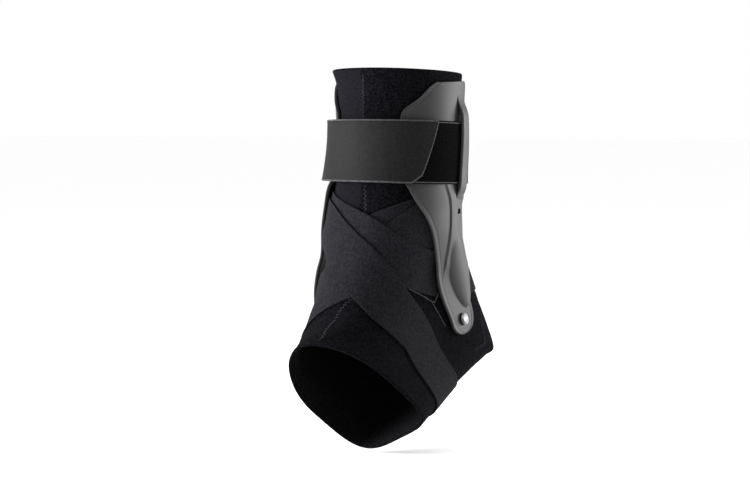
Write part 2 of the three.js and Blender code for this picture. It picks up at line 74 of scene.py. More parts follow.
# Band sizes, and how far from a lower band's edge an upper one starts and ends its step up
BAND_WALL = 1.3
BAND_GAP = 0.3
LAYER_GAP = 0.5
LIFT_MARGIN = 1
LIFT_RAMP = 17
INSTEP_BAND_WIDTH = 39
OUTER_INSTEP_BAND_WIDTH = 36
HEEL_BAND_WIDTH = 33

# Guard and keeper sizes
GUARD_WALL = 2.2
GUARD_ROUND = 1.1
BACK_STEP = 1.1
BONE_BULGE = 4.4
BULGE_REACH = 15
REAR_CURL = 1.6
KEEPER_WALL = 2.6
KEEPER_WIDTH = 14
KEEPER_WAIST = 2.2
KEEPER_FLARE = 1.8
KEEPER_ROUND = 1.3
KEEPER_TURN = 0.05
CUTTER_DEPTH = 30
CUTTER_HEIGHT = 4
SLOT_PLACE = (0.285, 0.297)
SLOT_SIZE = (8, 3.8)

# Rivet sizes
RIVET_HEAD = 9.5
RIVET_RISE = 2.2
RIVET_GAP = 0.35
RIVET_SHANK = 2.5
RIVET_HOLE = 3.1
RIVET_FLANGE = 5.5
FLANGE_WALL = 1
FLANGE_EDGE = 0.3
HEAD_EDGE = 0.2
HEAD_SIDE = 0.62

# Strap, tab and trim sizes
STRAP_WALL = 1.5
STRAP_GAP = 0.8
STRAP_LOOSE = 2.6
TAB_WALL = 1.8
TAB_RISE = 2.7
TAB_CORNER = 0.14
TAB_CORNER_START = 0.955
PIPING_RADIUS = 0.75
THIN_PIPING_RADIUS = 0.35
THREAD_RADIUS = 0.22
THREAD_RISE = 0.2
# How far in from the strap's edges its piping lies, as a share of the way along the sleeve
PIPING_INSET = 0.002
# A point inside the leg that a cord's section is turned away from
CORD_SIDE = (0, -10, 0)

# Steps for measuring the worn shape: a walk's stride, and shares of the way along or round
WALK_STEP = 1.5
FINE = 1e-4
PROBE = 1e-3

# The sleeve's middle girth in metres, for the pitch of its ribs
SLEEVE_ROUND = 0.3

# Leg sections from the top rim down: heights at the front and back as shares of RIM_RISE, front and back as
# shares of CALF_DEPTH, inner and outer side of CALF_WIDTH, and the roundness of the front and back halves.
LEG_SECTIONS = [
    (1.01, 0.98, 0.5, 0.49, 0.49, 0.475, 2, 2.1),
    (0.85, 0.82, 0.465, 0.47, 0.465, 0.46, 2, 2.1),
    (0.65, 0.64, 0.455, 0.465, 0.455, 0.45, 2, 2.1),
    (0.47, 0.46, 0.47, 0.455, 0.475, 0.43, 2, 2.1),
    (0.32, 0.32, 0.51, 0.455, 0.5, 0.42, 2, 2.1),
    (0.18, 0.19, 0.56, 0.5, 0.52, 0.42, 2, 2.2),
]

# Foot sections: front forward and up, back backward and up, how far each takes the foot's droop, the roll,
# the sway, the inner and outer side, and the roundness of the front and back halves.
FOOT_SECTIONS = [
    (0.5, 0.15, 0.94, 0, 0.3, 0.35, 0, 0, 0.54, 0.42, 2, 2.4),
    (0.565, 0.09, 0.955, -0.26, 0.5, 0.65, 0.1, 0.01, 0.535, 0.42, 2, 2.8),
    (0.636, 0.04, 0.88, -0.58, 0.7, 0.9, 0.2, 0.02, 0.545, 0.42, 2.1, 3.3),
    (0.7, 0.01, 0.765, -0.9, 0.85, 1, 0.3, 0.03, 0.57, 0.42, 2.35, 4),
    (0.762, 0, 0.66, -1.13, 1, 1, 0.4, 0.045, 0.6, 0.42, 2.5, 4.2),
    (0.82, -0.01, 0.43, -1.13, 1, 1, 0.5, 0.07, 0.6, 0.42, 2.45, 4.2),
    (0.878, -0.01, 0.05, -1.12, 1, 1, 0.6, 0.095, 0.56, 0.43, 2.3, 4.2),
    (0.93, 0, -0.42, -1.12, 1, 1, 0.72, 0.12, 0.525, 0.43, 2.05, 4.2),
    (0.98, 0.01, -0.95, -1.14, 1, 1, 0.86, 0.143, 0.495, 0.43, 1.8, 4.2),
    (1.03, 0.02, -1.45, -1.16, 1, 1, 1, 0.163, 0.506, 0.43, 1.8, 4.2),
]

# Band routes, from the innermost band to the outermost: name, width, then the places along and round.
BANDS = [
    (
        "medial_heel_band",
        HEEL_BAND_WIDTH,
        [(0.285, 1.235), (0.31, 1.15), (0.345, 1.05), (0.38, 0.96), (0.42, 0.88), (0.46, 0.81), (0.49, 0.74)],
    ),
    (
        "medial_instep_band",
        INSTEP_BAND_WIDTH,
        [(0.295, 1.24), (0.33, 1.18), (0.38, 1.11), (0.435, 1.035), (0.49, 0.965), (0.55, 0.905),
         (0.615, 0.862),
         (0.7, 0.82), (0.79, 0.768), (0.85, 0.715), (0.878, 0.66), (0.888, 0.6), (0.89, 0.545)],
    ),
    (
        "lateral_heel_band",
        HEEL_BAND_WIDTH,
        [(0.285, 0.785), (0.292, 0.86), (0.315, 0.95), (0.345, 1.03), (0.39, 1.11), (0.44, 1.18),
         (0.475, 1.25),
         (0.475, 1.35), (0.44, 1.45), (0.43, 1.55), (0.44, 1.65), (0.46, 1.71)],
    ),
    (
        "lateral_instep_band",
        OUTER_INSTEP_BAND_WIDTH,
        [(0.31, 0.785), (0.312, 0.825), (0.32, 0.88), (0.35, 0.94), (0.392, 0.998), (0.455, 1.056),
         (0.54, 1.112),
         (0.63, 1.158), (0.735, 1.203), (0.83, 1.26), (0.885, 1.32), (0.91, 1.385), (0.912, 1.45),
         (0.905, 1.5)],
    ),
]

# Half a circle in steps, for a guard's lower end
END_SWINGS = [math.radians(angle) for angle in (15, 30, 45, 60, 73, 83, 88)]


def rounded_end(start, length, turn, end_turn, width, lift, end_lift):
    """Guard rows that close its lower end in half a circle."""
    rows = []
    for swing in END_SWINGS:
        share, narrow = math.sin(swing), width * math.cos(swing)
        along = start + length * share
        stand_off = lift + (end_lift - lift) * share
        rows.append((along, turn + (end_turn - turn) * share, narrow, narrow, stand_off))
    return rows


# Guard rows from the top edge down: place along, turn from the shin, width to the front and back, stand-off.
GUARD_TOP = [
    (0.022, 0.25, 19, 26, 0.7), (0.04, 0.25, 24, 28, 0.7), (0.06, 0.25, 31, 29, 0.7),
    (0.08, 0.25, 41, 29, 0.7),
    (0.1, 0.25, 43, 29, 0.7), (0.13, 0.25, 43, 29, 1.1), (0.165, 0.25, 42, 29, 1.6),
    (0.195, 0.25, 41, 29, 2.05),
    (0.22, 0.25, 39, 28, 2.5),
]
GUARD_ROWS = {
    "lateral": GUARD_TOP + [
        (0.25, 0.25, 32, 27, 4), (0.29, 0.252, 23, 24, 4.3), (0.34, 0.256, 17.5, 22, 4.2),
        (0.4, 0.263, 16.6, 20, 4), (0.45, 0.269, 17, 19.5, 3.7), (0.5, 0.274, 16.6, 19.5, 3.3),
        (0.54, 0.28, 15.6, 18.6, 2.8), (0.575, 0.287, 14.9, 17, 2.3), (0.605, 0.292, 14.6, 15.8, 1.9),
    ] + rounded_end(0.605, 0.051, 0.292, 0.296, 15.1, 1.9, 1.4),
    "medial": GUARD_TOP + [
        (0.25, 0.248, 32, 27, 4), (0.29, 0.244, 26, 25, 4.2), (0.34, 0.24, 23, 23, 4.6),
        (0.4, 0.236, 23.5, 22, 5.8), (0.45, 0.236, 24.5, 22, 7.4), (0.5, 0.238, 26, 22, 8.4),
        (0.54, 0.243, 26, 21.5, 8.2), (0.575, 0.252, 24, 20.5, 6.8), (0.605, 0.265, 20, 19, 4.8),
    ] + rounded_end(0.605, 0.062, 0.267, 0.286, 19, 4.8, 1.6),
}
# Where the guard is flat round the rivet: the blend from curved to flat, and the stretch that sets its slope.
PAD_BLEND = (0.545, 0.625)
PAD_SLOPE = (-0.025, 0.005)
# The guard's groove, from its upper end to its lower one, and the bulge over the bone, from top to foot.
GROOVE_PLACES = [(0.215, 0.237), (0.257, 0.254), (0.3, 0.257), (0.345, 0.252), (0.395, 0.243), (0.44, 0.2435)]
BULGE_TOP = (0.34, 0.287)
BULGE_FOOT = (0.572, 0.308)
# Keeper bar rows from the top down: place along, height of its outer face over the plate's, thickness.
KEEPER_ROWS = [
    (0.036, -0.4, 1.2), (0.05, 0.2, 1.4), (0.064, 1.7, 2), (0.079, 4.1, 2.6), (0.096, 5.3, 2.6),
    (0.15, 5.3, 2.6),
    (0.212, 5.3, 2.6), (0.228, 4.4, 2.6), (0.243, 2.2, 2), (0.258, 0.4, 1.4), (0.275, -0.8, 1),
    (0.29, -1.4, 0.9),
]
RIVET_PLACES = {"lateral": (0.611, 0.293), "medial": (0.615, 0.281)}

# The strap's edges along the leg, and the turns where the tab starts and where its slanted end stops
STRAP_TOP = 0.1
STRAP_BOTTOM = 0.215
TAB_START = 0.64
TAB_END_TOP = 1.193
TAB_END_BOTTOM = 1.15

# Thin piping on the bands: name, stand-off and places
PIPING_LINES = [
    ("heel_band_piping", 2.1, [(0.512, 0.16), (0.54, 0.196), (0.565, 0.227), (0.55, 0.2365), (0.535, 0.243)]),
    ("lower_piping", 0.3, [(0.562, 0.2275), (0.6, 0.242), (0.64, 0.256)]),
]

# Zigzag seams of the knit: name, width, stitches and places
SEAMS = [
    ("front_seam", 2.4, 13, [(0.012, 1.008), (0.05, 1.004), (0.098, 1)]),
    ("low_front_seam", 2.4, 8, [(0.22, 1.012), (0.26, 1.02), (0.3, 1.028)]),
    (
        "foot_seam", 2.4, 16,
        [(0.55, 1.048), (0.586, 1.032), (0.626, 1.02), (0.68, 1.014), (0.766, 1.026), (0.874, 1.05),
         (0.965, 1.06)],
    ),
    (
        "heel_seam", 2.6, 18,
        [(0.53, 0.38), (0.57, 0.362), (0.61, 0.35), (0.65, 0.346), (0.7, 0.345), (0.75, 0.345)],
    ),
]

# Lamps, in metres: name, place, size across and power
LAMPS = [
    ("right_softbox", (0.79, 1.14, 0.12), 0.9, 36),
    ("left_softbox", (-0.98, -0.98, 0.12), 0.9, 76),
    ("top_softbox", (0.3, -0.5, 1.5), 1.2, 5),
]
LAMP_AIM = (0, 0, 0.02)

# Camera and floor, in metres apart from the lens and its sensor
CAMERA_PLACE = (0.91772, -1.31064, 0.105)
CAMERA_AIM = (-0.01498, -0.01048, 0.01906)
CAMERA_LENS = 101.04
SENSOR_WIDTH = 36
FLOOR_SIZE = 40
FLOOR_DROP = 0.002
FLOOR_COLOUR = (0.985, 0.985, 0.985, 1)


# Measuring the worn shape


def smooth_line(points):
    """A smooth curve through points, read at shares from 0 to 1."""
    points = np.array(points, float)
    ends = np.vstack([2 * points[0] - points[1], points, 2 * points[-1] - points[-2]])
    last = len(points) - 1

    def at(share):
        place = np.clip(share, 0, 1) * last
        first = np.minimum(place.astype(int), last - 1)
        step = (place - first)[..., None]
        before, start, end, after = (ends[first + k] for k in range(4))
        leave, arrive = (end - before) / 2, (after - start) / 2
        bend = 3 * (end - start) - 2 * leave - arrive
        return start + leave * step + bend * step**2 + (2 * (start - end) + leave + arrive) * step**3

    return at


def drooped(y, z, share):
    """A point of the square foot, turned down about the ankle by a share of the droop."""
    angle = DROOP * share
    return [0, y * math.cos(angle) - z * math.sin(angle), y * math.sin(angle) + z * math.cos(angle)]


FOOT_AXIS = np.array(drooped(-1, 0, 1))
SECTIONS = [
    [0, -front * CALF_DEPTH, up * RIM_RISE, 0, back * CALF_DEPTH, up_back * RIM_RISE]
    + [inner * CALF_WIDTH, outer * CALF_WIDTH, 0, round_front, round_back, 0]
    for up, up_back, front, back, inner, outer, round_front, round_back in LEG_SECTIONS
] + [
    drooped(-forward * FOOT_REACH, up * ANKLE_HEIGHT, turn_front)
    + drooped(backward * HEEL_REACH, up_back * ANKLE_HEIGHT, turn_back)
    + [inner * FOOT_WIDTH, outer * FOOT_WIDTH, sway * FOOT_WIDTH, round_front, round_back, roll * INVERSION]
    for (
        forward, up, backward, up_back, turn_front, turn_back,
        roll, sway, inner, outer, round_front, round_back,
    ) in FOOT_SECTIONS
]
SECTION_LINE = smooth_line(SECTIONS)


def skin(along, turn):
    """Points of the sleeve's outer surface: along from the leg rim to the front rim, turn once round."""
    row = SECTION_LINE(along)
    front, back = row[..., 0:3], row[..., 3:6]
    inner, outer, sway, round_front, round_back, roll = (row[..., k] for k in range(6, 12))
    angle = 2 * np.pi * turn
    c, s = np.cos(angle), np.sin(angle)
    power = np.where(c >= 0, round_front, round_back)
    radius = (np.abs(c) ** power + np.abs(s) ** power) ** (-1 / power)
    middle = (front + back) / 2
    end = np.where((c >= 0)[..., None], front, back)
    point = middle + (end - middle) * (np.abs(c) * radius)[..., None]
    point[..., 0] = np.where(s >= 0, outer, inner) * s * radius - sway
    roll = roll[..., None]
    across = np.cross(FOOT_AXIS, point)
    lengthways = (point @ FOOT_AXIS)[..., None] * FOOT_AXIS
    return point * np.cos(roll) + across * np.sin(roll) + lengthways * (1 - np.cos(roll))


def unit(vectors):
    return vectors / np.linalg.norm(vectors, axis=-1, keepdims=True)


def outward(along, turn):
    """The direction straight out of the sleeve."""
    down = skin(np.minimum(along + PROBE, 1), turn) - skin(np.maximum(along - PROBE, 0), turn)
    around = skin(along, turn + PROBE) - skin(along, turn - PROBE)
    return unit(np.cross(down, around))


def over(along, turn, height):
    """Points at a height over the sleeve."""
    return skin(along, turn) + outward(along, turn) * np.asarray(height)[..., None]


def on_sleeve(place, height=0):
    """One point at a height over one place of the sleeve."""
    along, turn = np.array(place, float)[:, None]
    return over(along, turn, np.array([float(height)]))[0]


def out_of_sleeve(place):
    """The direction straight out of the sleeve at one place."""
    along, turn = np.array(place, float)[:, None]
    return outward(along, turn)[0]


def walk(along, turn, direction, length):
    """Walks over the sleeve from a place by a length, in short steps, and gives the new place."""
    steps = max(1, math.ceil(np.abs(length).max() / WALK_STEP))
    for _ in range(steps):
        here = skin(along, turn)
        down = (skin(along + FINE, turn) - here) / FINE
        around = (skin(along, turn + FINE) - here) / FINE
        normal = unit(np.cross(down, around))
        flat = direction - (direction * normal).sum(-1)[..., None] * normal
        stride = unit(flat) * (length / steps)[..., None]
        down_down, down_around, around_around = (
            (first * second).sum(-1) for first, second in ((down, down), (down, around), (around, around))
        )
        with_down, with_around = (stride * down).sum(-1), (stride * around).sum(-1)
        spread = down_down * around_around - down_around * down_around
        forward = (around_around * with_down - down_around * with_around) / spread
        along = np.clip(along + forward, 0, 1 - 2 * FINE)
        turn = turn + (down_down * with_around - down_around * with_down) / spread
    return along, turn


def ease(value, low, high):
    """A smooth step from 0 at low to 1 at high."""
    share = np.clip((value - low) / (high - low), 0, 1)
    return share * share * (3 - 2 * share)


def hump(value, middle, reach):
    """A smooth hump of height 1 round a middle."""
    return np.exp(-(((value - middle) / reach) ** 2))


# Laying pieces out from grids


def wall_outline(flat_steps, round_steps, wall, rim=None):
    """A thin wall's section: side from -1 to 1, how far past the side it rounds, and height."""
    rim = wall / 2 if rim is None else rim
    side = np.linspace(-1, 1, flat_steps + 1)
    arc = np.linspace(np.pi / 2, -np.pi / 2, round_steps + 1)[1:-1]
    sides = np.concatenate([side, np.ones(len(arc)), side[::-1], -np.ones(len(arc))])
    outs = np.concatenate([0 * side, rim * np.cos(arc), 0 * side, -rim * np.cos(arc)])
    middle, half = wall / 2, wall / 2
    swing = half * np.sin(arc)
    heights = np.concatenate([0 * side + wall, middle + swing, 0 * side, middle - swing])
    return sides, outs, heights


def laid_piece(name, rows, columns, place, capped=False, cut=(1, 1), inner_from=None):
    """A piece from a grid whose points go where place(row, column) says, in millimetres.

    The columns close on themselves. The rows close too or, with capped, get a face at each end. cut is the
    cloth's size in metres, for its pattern, and columns from inner_from to its end get the second material.
    """
    mesh = bpy.data.meshes.new(name)
    bm = bmesh.new()
    bm.loops.layers.uv.new("cut")
    bmesh.ops.create_grid(bm, x_segments=columns, y_segments=rows, size=0.5, calc_uvs=True)
    bm.to_mesh(mesh)
    flat = np.empty(len(mesh.vertices) * 3, np.float32)
    mesh.vertices.foreach_get("co", flat)
    flat = flat.reshape(-1, 3)
    column = np.rint((flat[:, 0] + 0.5) * columns).astype(int)
    row = np.rint((flat[:, 1] + 0.5) * rows).astype(int)
    points = place(row, column % columns) * MM
    mesh.vertices.foreach_set("co", points.astype(np.float32).ravel())
    if inner_from is not None:
        corner = np.empty(len(mesh.loops), np.int32)
        mesh.loops.foreach_get("vertex_index", corner)
        low, high = inner_from
        face_column = column[corner].reshape(-1, 4).min(axis=1)
        inner = (face_column >= low) & (face_column < high)
        mesh.polygons.foreach_set("material_index", inner.astype(np.int32))
    bm.clear()
    bm.from_mesh(mesh)
    layer = bm.loops.layers.uv.active
    for face in bm.faces:
        face.smooth = True
        for loop in face.loops:
            loop[layer].uv = (loop[layer].uv[0] * cut[0], loop[layer].uv[1] * cut[1])
    bmesh.ops.remove_doubles(bm, verts=bm.verts, dist=SAME_POINT)
    if capped:
        bmesh.ops.holes_fill(bm, edges=[e for e in bm.edges if e.is_boundary], sides=0)
    bmesh.ops.recalc_face_normals(bm, faces=bm.faces)
    bm.to_mesh(mesh)
    bm.free()
    return shown(name, mesh)


def shown(name, data):
    """A new object of a mesh, a lamp or a camera, put in the scene."""
    piece = bpy.data.objects.new(name, data)
    bpy.context.scene.collection.objects.link(piece)
    return piece


def dress(piece, *finishes):
    for finish in finishes:
        piece.data.materials.append(finish)
    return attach(piece, "root")


# Finishes

# The sleeve's front medial panel, up to the front seam: where it starts round the sleeve and where it ends
# down the sleeve, both in metres of its pattern, and how much lighter it is.
MEDIAL_PANEL = (0.7 * SLEEVE_ROUND, 0.12, 0.2)
# What a cloth's shade is made of: its weave, its fuzz and a slow change, then a shift of the whole.
WEAVE_SHARE = 0.3
FUZZ_SHARE = 1.6
SLOW_SHARE = 0.2
SHADE_SHIFT = 0.5
SHADE_RANGE = (0.38, 0.74)
FUZZ_HEIGHT = 0.8
CLOTH_SHEEN = 0.003


def new_finish(name, roughness, metallic=0.0, sheen=0.0, gloss=0.5):
    finish = bpy.data.materials.new(name)
    finish.use_nodes = True
    shader = finish.node_tree.nodes["Principled BSDF"]
    shader.inputs["Specular IOR Level"].default_value = gloss
    shader.inputs["Roughness"].default_value = roughness
    shader.inputs["Metallic"].default_value = metallic
    shader.inputs["Sheen Weight"].default_value = sheen
    shader.inputs["Sheen Roughness"].default_value = 0.6
    return finish, finish.node_tree, shader


def linked(tree, kind, settings=None, **inputs):
    """A node with its settings, its inputs set to values or linked to sockets."""
    node = tree.nodes.new(kind)
    for key, value in (settings or {}).items():
        setattr(node, key, value)
    for key, value in inputs.items():
        socket = node.inputs[int(key[1:])] if key[0] == "_" else node.inputs[key.replace("_", " ")]
        if isinstance(value, bpy.types.NodeSocket):
            tree.links.new(value, socket)
        else:
            socket.default_value = value
    return node


def arithmetic(tree, operation, first, second=0.0, third=0.0):
    return linked(tree, "ShaderNodeMath", {"operation": operation}, _0=first, _1=second, _2=third).outputs[0]


def noise(tree, place, scale, detail, roughness=0.5):
    node = linked(tree, "ShaderNodeTexNoise", Vector=place, Scale=scale, Detail=detail, Roughness=roughness)
    return node.outputs["Fac"]


def shades(tree, factor, start, end):
    """A change of colour between two stops, each a position and a colour."""
    ramp = linked(tree, "ShaderNodeValToRGB", Fac=factor)
    for stop, (position, colour) in zip(ramp.color_ramp.elements, (start, end)):
        stop.position = position
        stop.color = (*colour, 1)
    return ramp.outputs["Color"]


def bumped(tree, shader, height, strength, depth):
    bump = linked(tree, "ShaderNodeBump", Height=height, Strength=strength, Distance=depth)
    tree.links.new(bump.outputs["Normal"], shader.inputs["Normal"])


def waves(tree, coordinate, pitch):
    """A smooth 0 to 1 wave along a coordinate in metres, with that pitch in metres."""
    angle = arithmetic(tree, "MULTIPLY", coordinate, 2 * math.pi / pitch)
    return arithmetic(tree, "MULTIPLY_ADD", arithmetic(tree, "SINE", angle), 0.5, 0.5)


def cloth_finish(
    name, dark, light, rib_pitch, row_pitch,
    ribs=0.5, depth=0.00012, roughness=0.9, mottle=600, gloss=0.1, panel=None,
):
    """Knitted or woven cloth: ribs along the piece, rows across them, fuzz and a slow change of shade."""
    finish, tree, shader = new_finish(name, roughness, sheen=CLOTH_SHEEN, gloss=gloss)
    pattern = linked(tree, "ShaderNodeUVMap", {"uv_map": "cut"}).outputs["UV"]
    apart = linked(tree, "ShaderNodeSeparateXYZ", Vector=pattern)
    solid = linked(tree, "ShaderNodeTexCoord").outputs["Object"]
    fuzz = noise(tree, solid, mottle, 4.0, 0.7)
    slow = noise(tree, solid, 22.0, 2.0)
    rib = arithmetic(tree, "MULTIPLY", waves(tree, apart.outputs["X"], rib_pitch), ribs)
    row = arithmetic(tree, "MULTIPLY", waves(tree, apart.outputs["Y"], row_pitch), 1 - ribs)
    weave = arithmetic(tree, "ADD", rib, row)
    tone = arithmetic(tree, "MULTIPLY_ADD", weave, WEAVE_SHARE, -SHADE_SHIFT)
    tone = arithmetic(tree, "MULTIPLY_ADD", fuzz, FUZZ_SHARE, tone)
    tone = arithmetic(tree, "MULTIPLY_ADD", slow, SLOW_SHARE, tone)
    if panel:
        start, end, lighter = panel
        past_start = arithmetic(tree, "GREATER_THAN", apart.outputs["Y"], start)
        before_end = arithmetic(tree, "LESS_THAN", apart.outputs["X"], end)
        within = arithmetic(tree, "MULTIPLY", past_start, before_end)
        tone = arithmetic(tree, "MULTIPLY_ADD", within, lighter, tone)
    colour = shades(tree, tone, (SHADE_RANGE[0], dark), (SHADE_RANGE[1], light))
    tree.links.new(colour, shader.inputs["Base Color"])
    bumped(tree, shader, arithmetic(tree, "MULTIPLY_ADD", fuzz, FUZZ_HEIGHT, weave), 0.7, depth)
    return finish


def plastic_finish():
    """Grey moulded plastic: satin, with a fine grain, and slightly uneven in shade and gloss."""
    finish, tree, shader = new_finish("guard_plastic", 0.55, gloss=0.15)
    solid = linked(tree, "ShaderNodeTexCoord").outputs["Object"]
    slow = noise(tree, solid, 28.0, 3.0)
    colour = shades(tree, slow, (0.3, (0.018, 0.018, 0.0183)), (0.7, (0.0235, 0.0235, 0.0238)))
    tree.links.new(colour, shader.inputs["Base Color"])
    roughness = arithmetic(tree, "MULTIPLY_ADD", slow, 0.12, 0.5)
    tree.links.new(roughness, shader.inputs["Roughness"])
    bumped(tree, shader, noise(tree, solid, 1800.0, 3.0), 0.25, 0.00006)
    return finish


def steel_finish(name, dark, light, roughness, metallic):
    """Steel with fine turning marks and a little wear."""
    finish, tree, shader = new_finish(name, roughness, metallic=metallic)
    solid = linked(tree, "ShaderNodeTexCoord").outputs["Object"]
    marks = noise(tree, solid, 500.0, 4.0)
    tree.links.new(shades(tree, marks, (0.35, dark), (0.65, light)), shader.inputs["Base Color"])
    bumped(tree, shader, marks, 0.3, 0.00008)
    return finish


KNIT = cloth_finish(
    "black_knit", (0.0004, 0.0004, 0.0006), (0.0049, 0.0049, 0.0065), 0.0016, 0.0011,
    depth=0.0003, gloss=0.01, panel=MEDIAL_PANEL,
)
LINING = cloth_finish(
    "terry_lining", (0.001, 0.001, 0.0012), (0.006, 0.006, 0.007), 0.0024, 0.002,
    depth=0.0003, gloss=0.01,
)
ELASTIC = cloth_finish(
    "charcoal_elastic", (0.0037, 0.0037, 0.0045), (0.0109, 0.0109, 0.0134), 0.0009, 0.0014,
    ribs=0.65, gloss=0.03,
)
LOOP = cloth_finish(
    "black_loop", (0.0001, 0.0001, 0.0001), (0.0026, 0.0026, 0.0028), 0.0015, 0.0015,
    depth=0.0006, mottle=1100, gloss=0.01,
)
COATED = cloth_finish(
    "coated_webbing", (0.0052, 0.0052, 0.0055), (0.009, 0.009, 0.0097), 0.0008, 0.0008,
    depth=0.00006, roughness=0.7, gloss=0.05,
)
PIPING = cloth_finish(
    "grey_piping", (0.022, 0.022, 0.0235), (0.05, 0.05, 0.053), 0.0008, 0.0008,
    depth=0.00008, gloss=0.05,
)
THREAD = cloth_finish(
    "dark_thread", (0.013, 0.013, 0.017), (0.03, 0.03, 0.039), 0.0006, 0.0006,
    depth=0.00005, gloss=0.03,
)
PLASTIC = plastic_finish()
STEEL = steel_finish("rivet_steel", (0.03, 0.03, 0.031), (0.13, 0.13, 0.133), 0.42, 1.0)
# Painted shade: a dark steel for the upright wall of the rivet's head, standing in for the shadow in the gap
# round the head
PAINTED_SHADE_STEEL = steel_finish("rivet_rim_painted_shade", (0.006, 0.006, 0.007), (0.02, 0.02, 0.022), 0.5, 0.6)


# Pieces


def facing(turn, middle, low):
    """1 on the side that looks towards a turn, and 0 round the back of it."""
    return ease(np.cos(2 * np.pi * (turn - middle)), low, 1)


def sleeve_folds(along, turn):
    """Slanting folds over the instep, small waves in the top rim, and its flare at the inner front."""
    slanting = np.sin(2 * np.pi * (turn * 9 + along * 5)) * facing(turn, 0.9, 0.2)
    instep = 0.7 * hump(along, 0.93, 0.045) * slanting
    rim = 0.35 * hump(along, 0.03, 0.04) * np.sin(2 * np.pi * turn * 7)
    flare = 2.2 * np.clip(1 - along / 0.045, 0, 1) ** 2 * facing(turn, 0.83, 0.1)
    return instep + rim + flare


def knit_sleeve():
    """The sleeve's wall, round at both rims, with soft folds where the foot bends."""
    rings, sides, rounding = 150, 220, 6
    side, out, height = wall_outline(rings, rounding, SLEEVE_WALL)
    inset = SLEEVE_WALL / 2 / SLEEVE_LENGTH
    share = inset + (1 - 2 * inset) * (side + 1) / 2

    def place(row, column):
        turn, along = row / sides, share[column]
        lengthways = unit(skin(np.minimum(along + 0.01, 1), turn) - skin(np.maximum(along - 0.01, 0), turn))
        wall = over(along, turn, height[column] - SLEEVE_WALL + sleeve_folds(along, turn))
        return wall + lengthways * out[column][..., None]

    inner = (rings + rounding, 2 * rings + rounding)
    cut = (2 * SLEEVE_LENGTH * MM, SLEEVE_ROUND)
    piece = laid_piece("knit_sleeve", sides, len(side), place, cut=cut, inner_from=inner)
    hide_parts("sleeve")
    return dress(piece, KNIT, LINING)


ROUTE_SAMPLES = np.linspace(0, 1, 160)
ROUTES = [(name, width, smooth_line(rows)) for name, width, rows in BANDS]
CENTRES = [skin(*route(ROUTE_SAMPLES).T) for _, _, route in ROUTES]


def lifted(along, turn, below):
    """How far a piece lies off the sleeve: one wall for each band below it there."""
    point = skin(along, turn)
    lift = np.full(point.shape[:-1], float(BAND_GAP))
    for k in range(below):
        apart = np.linalg.norm(point[:, None, :] - CENTRES[k][None], axis=-1).min(axis=1)
        beyond = apart - ROUTES[k][1] / 2
        lift += (BAND_WALL + LAYER_GAP) * (1 - ease(beyond, LIFT_MARGIN, LIFT_MARGIN + LIFT_RAMP))
    return lift


def strip_places(route, share, reach):
    """Places along and round the sleeve, at distances to the side of a route's points."""
    middle = route(share)
    ahead, behind = route(np.minimum(share + PROBE, 1)), route(np.maximum(share - PROBE, 0))
    forward = unit(skin(ahead[:, 0], ahead[:, 1]) - skin(behind[:, 0], behind[:, 1]))
    sideways = np.cross(forward, outward(middle[:, 0], middle[:, 1]))
    return (*walk(middle[:, 0], middle[:, 1], sideways, reach), sideways)


def strip_table(route, rows, flat, half):
    """The places of a strip's grid, evened out a little along its length."""
    share = np.repeat(np.linspace(0, 1, rows + 1), flat + 1)
    reach = np.tile(np.linspace(-half, half, flat + 1), rows + 1)
    along, turn, sideways = strip_places(route, share, reach)
    table = np.concatenate([along[:, None], turn[:, None], sideways], axis=1).reshape(rows + 1, flat + 1, 5)
    weights = np.array([1, 2, 3, 4, 3, 2, 1]) / 16
    margin = len(weights) // 2
    wide = np.pad(table, ((margin, margin), (0, 0), (0, 0)), mode="reflect", reflect_type="odd")
    return sum(weight * wide[k : k + rows + 1] for k, weight in enumerate(weights))


def elastic_band(k):
    """One flat elastic band with a fine groove beside each woven edge, over the bands below it."""
    name, width, route = ROUTES[k]
    rows, flat = 150, 30
    side, out, height = wall_outline(flat, 4, BAND_WALL)
    half = width / 2 - BAND_WALL / 2
    from_edge = (1 - np.abs(side)) * half
    groove = 0.22 * hump(from_edge, 1.6, 0.5)
    table = strip_table(route, rows, flat, half)
    nearest = np.rint((side + 1) / 2 * flat).astype(int)

    def place(row, column):
        spot = table[row, nearest[column]]
        along, turn, sideways = spot[:, 0], spot[:, 1], spot[:, 2:]
        top = height[column] > BAND_WALL / 2
        lift = lifted(along, turn, k) + height[column] - np.where(top, groove[column], 0)
        return over(along, turn, lift) + sideways * out[column][:, None]

    length = np.linalg.norm(np.diff(CENTRES[k], axis=0), axis=1).sum() * MM
    piece = laid_piece(name + "_cloth", rows, len(side), place, capped=True, cut=(2 * width * MM, length))
    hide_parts(name)
    return dress(piece, ELASTIC)


GUARD = {side: smooth_line(rows) for side, rows in GUARD_ROWS.items()}
GUARD_LIFTS = np.array([(row[0], row[4]) for row in GUARD_ROWS["lateral"]])
GROOVE = smooth_line(GROOVE_PLACES)
GROOVE_START = GROOVE_PLACES[0][0]
GROOVE_END = GROOVE_PLACES[-1][0]


def on_side(side, turn):
    """A turn on the outer side, or its mirror on the inner side."""
    return turn if side == "lateral" else 1 - turn


def strap_lift(along):
    """How far off the sleeve the strap lies, over the guards' plates."""
    return np.interp(along, GUARD_LIFTS[:, 0], GUARD_LIFTS[:, 1]) + GUARD_WALL + STRAP_GAP


